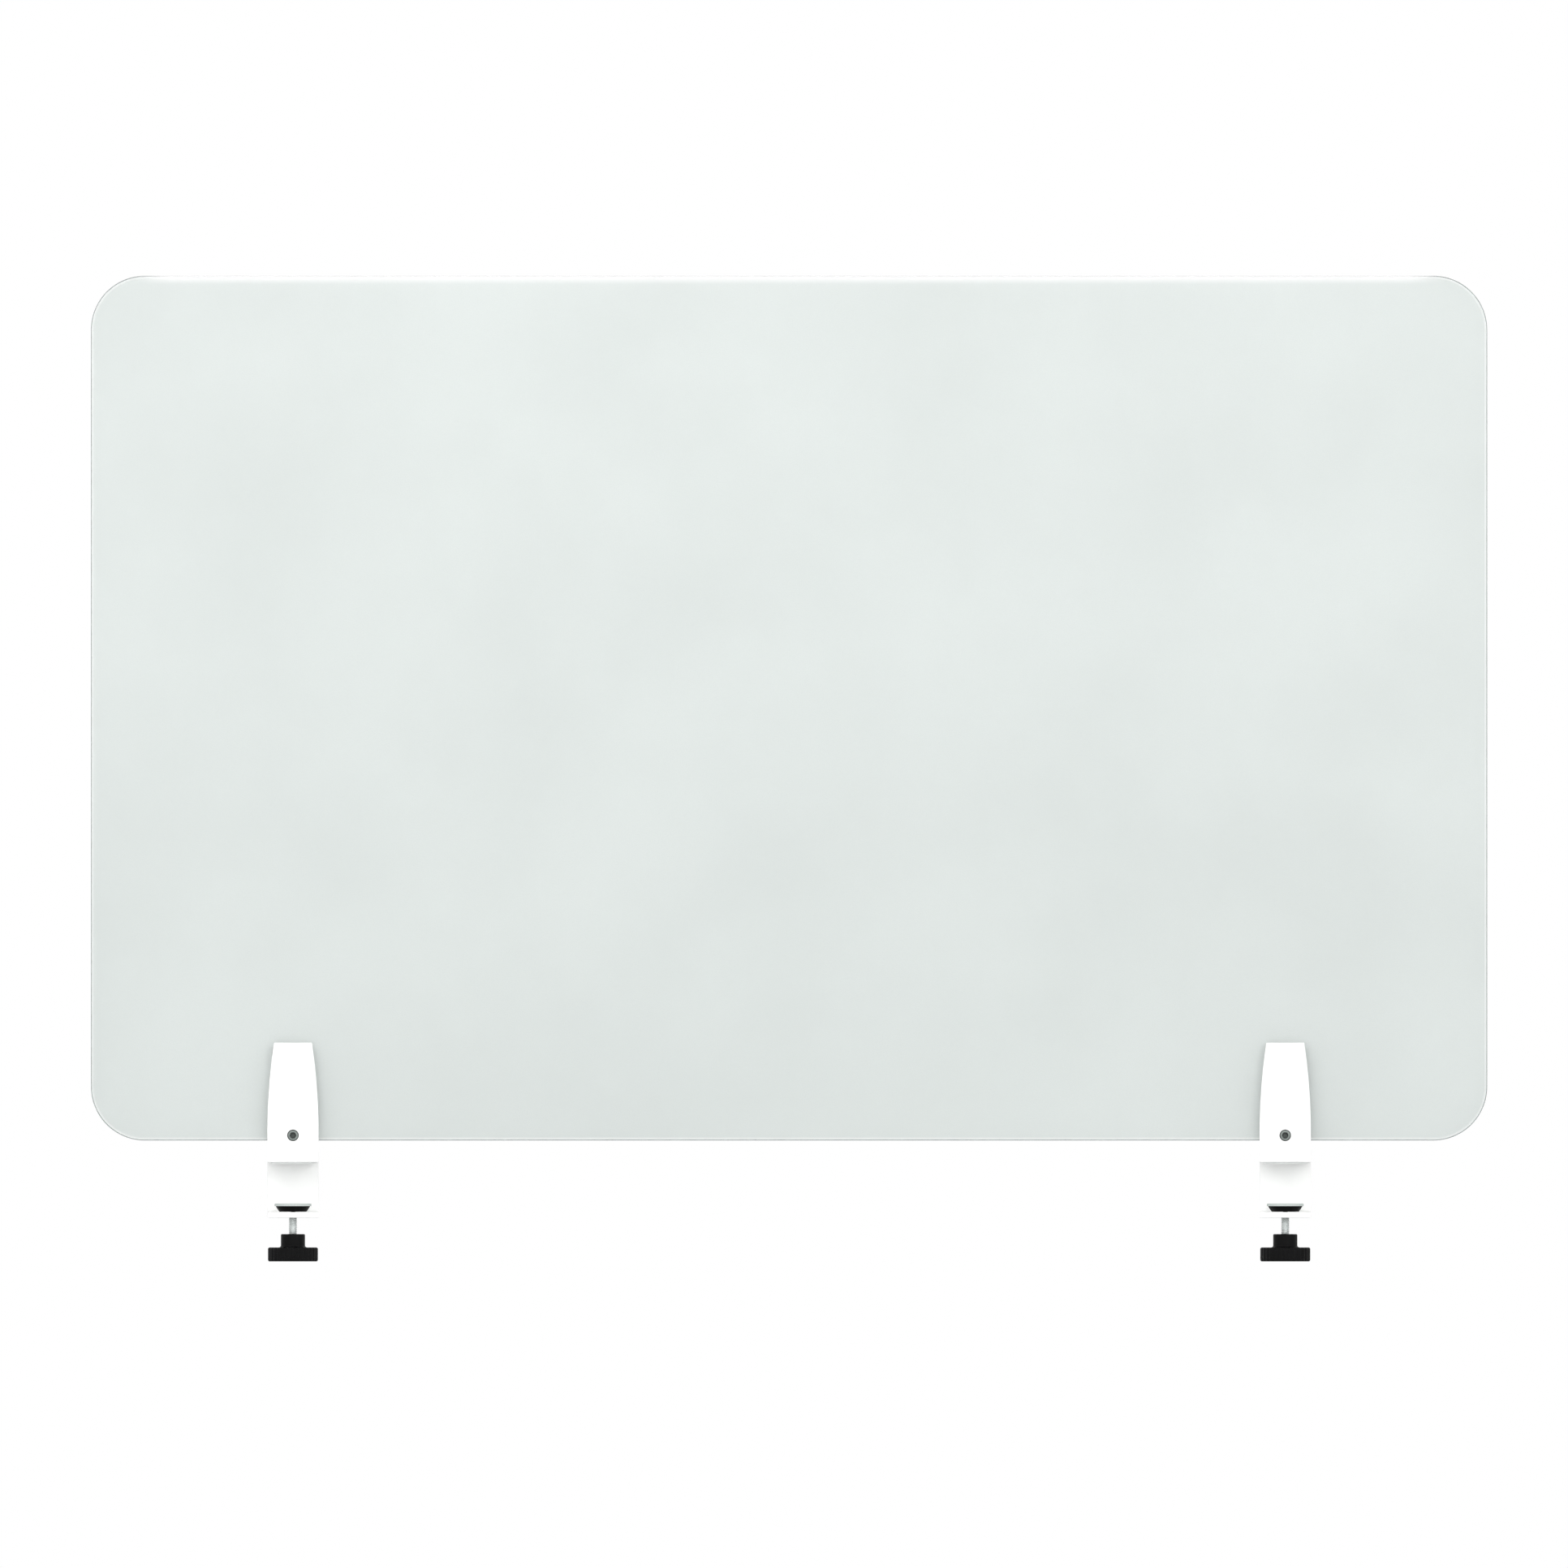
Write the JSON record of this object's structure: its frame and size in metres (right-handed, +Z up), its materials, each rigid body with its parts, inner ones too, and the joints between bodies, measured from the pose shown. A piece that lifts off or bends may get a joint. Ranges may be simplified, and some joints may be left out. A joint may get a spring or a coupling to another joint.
{
  "type": "desk privacy panel",
  "caption": "Frosted privacy panel with rounded corners, held along its lower edge by white clamps whose screw feet grip a desk's rear edge.",
  "frame": {"origin": "on the desk's upper face, at its rear edge, midway between the two clamps", "axes": "+X along the panel to the right as seen from the desk, +Y away from the desk, +Z up"},
  "size_m": [0.985, 0.04, 0.6953],
  "materials": {
    "frosted_acrylic": "satin",
    "white_powder_coat": "satin",
    "clear_silicone": "matte",
    "grey_rubber": "matte",
    "zinc_plated_steel": "satin",
    "blackened_steel": "satin",
    "black_plastic": "satin"
  },
  "bodies": {
    "panel": {"panel": "frosted_acrylic"},
    "left_clamp": {"left_clamp_body": "white_powder_coat", "left_jaw_pad": "clear_silicone", "left_rear_liner": "grey_rubber", "left_thread_bush": "zinc_plated_steel"},
    "left_foot": {"left_foot_cup": "black_plastic", "left_foot_face": "grey_rubber"},
    "left_screw": {"left_clamp_screw": "zinc_plated_steel", "left_knob": "black_plastic"},
    "left_plate": {"left_pressure_plate": "zinc_plated_steel", "left_front_liner": "grey_rubber"},
    "left_grip": {"left_grip_screw": "blackened_steel"},
    "right_clamp": {"right_clamp_body": "white_powder_coat", "right_jaw_pad": "clear_silicone", "right_rear_liner": "grey_rubber", "right_thread_bush": "zinc_plated_steel"},
    "right_foot": {"right_foot_cup": "black_plastic", "right_foot_face": "grey_rubber"},
    "right_screw": {"right_clamp_screw": "zinc_plated_steel", "right_knob": "black_plastic"},
    "right_plate": {"right_pressure_plate": "zinc_plated_steel", "right_front_liner": "grey_rubber"},
    "right_grip": {"right_grip_screw": "blackened_steel"}
  },
  "joints": [
    {"name": "left_clamp_shift", "type": "slide", "parent": "panel", "child": "left_clamp", "axis": [1, 0, 0], "range_m": [-0.08, 0.3]},
    {"name": "left_foot_lift", "type": "slide", "parent": "left_clamp", "child": "left_foot", "axis": [0, 0, 1], "range_m": [0, 0.011]},
    {"name": "left_screw_turn", "type": "hinge", "parent": "left_foot", "child": "left_screw", "pos_m": [-0.35, -0.0175, -0.0438], "axis": [0, 0, 1], "range_deg": [0, 3960]},
    {"name": "left_plate_slack", "type": "slide", "parent": "left_clamp", "child": "left_plate", "axis": [0, -1, 0], "range_m": [0, 0.00187]},
    {"name": "left_grip_turn", "type": "hinge", "parent": "left_plate", "child": "left_grip", "pos_m": [-0.35, -0.0325, 0.0199], "axis": [0, -1, 0], "range_deg": [0, 540]},
    {"name": "right_clamp_shift", "type": "slide", "parent": "panel", "child": "right_clamp", "axis": [1, 0, 0], "range_m": [-0.3, 0.08]},
    {"name": "right_foot_lift", "type": "slide", "parent": "right_clamp", "child": "right_foot", "axis": [0, 0, 1], "range_m": [0, 0.011]},
    {"name": "right_screw_turn", "type": "hinge", "parent": "right_foot", "child": "right_screw", "pos_m": [0.35, -0.0175, -0.0438], "axis": [0, 0, 1], "range_deg": [0, 3960]},
    {"name": "right_plate_slack", "type": "slide", "parent": "right_clamp", "child": "right_plate", "axis": [0, -1, 0], "range_m": [0, 0.00187]},
    {"name": "right_grip_turn", "type": "hinge", "parent": "right_plate", "child": "right_grip", "pos_m": [0.35, -0.0325, 0.0199], "axis": [0, -1, 0], "range_deg": [0, 540]}
  ],
  "couplings": [
    {"joint": "left_screw_turn", "follows": "left_foot_lift", "rad_per_m": 6283.2},
    {"joint": "left_grip_turn", "follows": "left_plate_slack", "rad_per_m": 5026.5},
    {"joint": "right_screw_turn", "follows": "right_foot_lift", "rad_per_m": 6283.2},
    {"joint": "right_grip_turn", "follows": "right_plate_slack", "rad_per_m": 5026.5}
  ]
}
